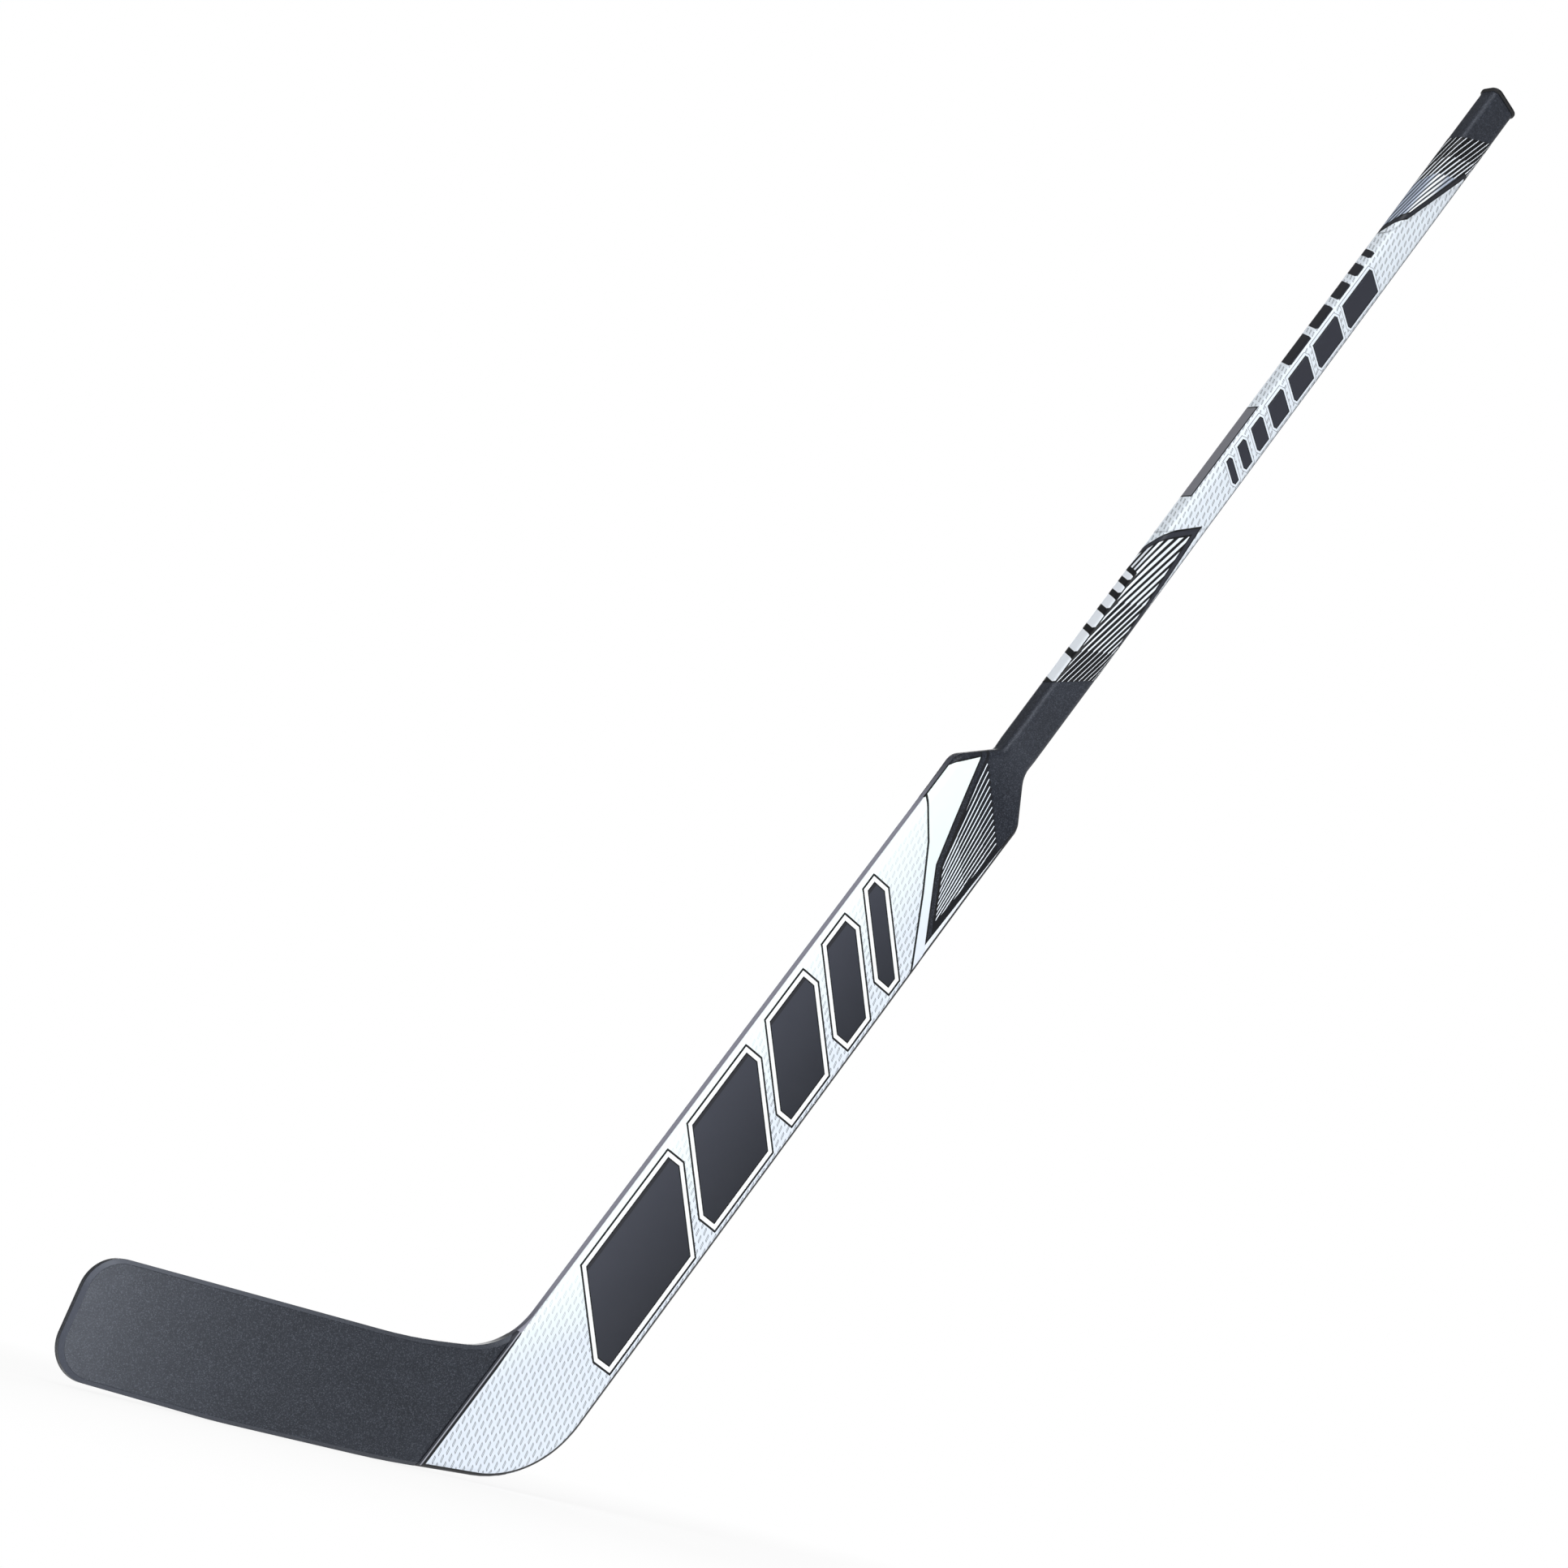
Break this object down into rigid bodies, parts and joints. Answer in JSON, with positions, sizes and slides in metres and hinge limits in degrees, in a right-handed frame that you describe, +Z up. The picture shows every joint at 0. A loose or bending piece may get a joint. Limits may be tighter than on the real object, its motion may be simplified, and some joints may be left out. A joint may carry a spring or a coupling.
{
  "type": "goalie stick",
  "caption": "Ice hockey goalie stick: a curved foam-cored composite blade and wide paddle under printed film, with a hollow rounded-rectangle shaft closed by a plastic butt plug.",
  "frame": {"origin": "Centre of the flat of the blade's sole, with the stick in its playing pose on the ice.", "axes": "+Z is up off the ice. -X runs along the blade to the toe. -Y is the backhand face, the one the picture shows. The shaft leans back toward +X in the XZ plane."},
  "size_m": [1.0097, 0.0277, 1.3025],
  "materials": {
    "shaft_laminate": "satin charcoal lacquer over carbon-fibre laminate",
    "paddle_laminate": "satin charcoal lacquer over fibre laminate",
    "blade_laminate": "matte charcoal lacquer with a fine sparkle",
    "inner_laminate": "bare cured laminate",
    "core_foam": "closed-cell foam, matte",
    "heel_filler": "dense moulded foam, matte",
    "plug_plastic": "fine-grained moulded plastic",
    "paddle_film": "satin white printed film",
    "lower_shaft_film": "charcoal film printed with a white hatch",
    "main_shaft_film": "satin white printed film",
    "top_shaft_film": "charcoal film printed with a white hatch"
  },
  "bodies": {
    "root": {"shaft_tube": "shaft_laminate", "shaft_foam": "core_foam", "butt_plug": "plug_plastic", "blade_tongue": "inner_laminate", "heel_block": "heel_filler", "paddle_front_skin": "paddle_laminate", "paddle_back_skin": "paddle_laminate", "paddle_core_toe_side": "core_foam", "paddle_core_heel_side": "core_foam", "paddle_core_middle": "core_foam", "blade_front_skin": "blade_laminate", "blade_back_skin": "blade_laminate", "blade_rib": "inner_laminate", "blade_core_lower": "core_foam", "blade_core_upper": "core_foam", "paddle_back_film": "paddle_film", "paddle_front_film": "paddle_film", "shaft_lower_film": "lower_shaft_film", "shaft_main_film": "main_shaft_film", "shaft_top_film": "top_shaft_film"}
  },
  "joints": []
}
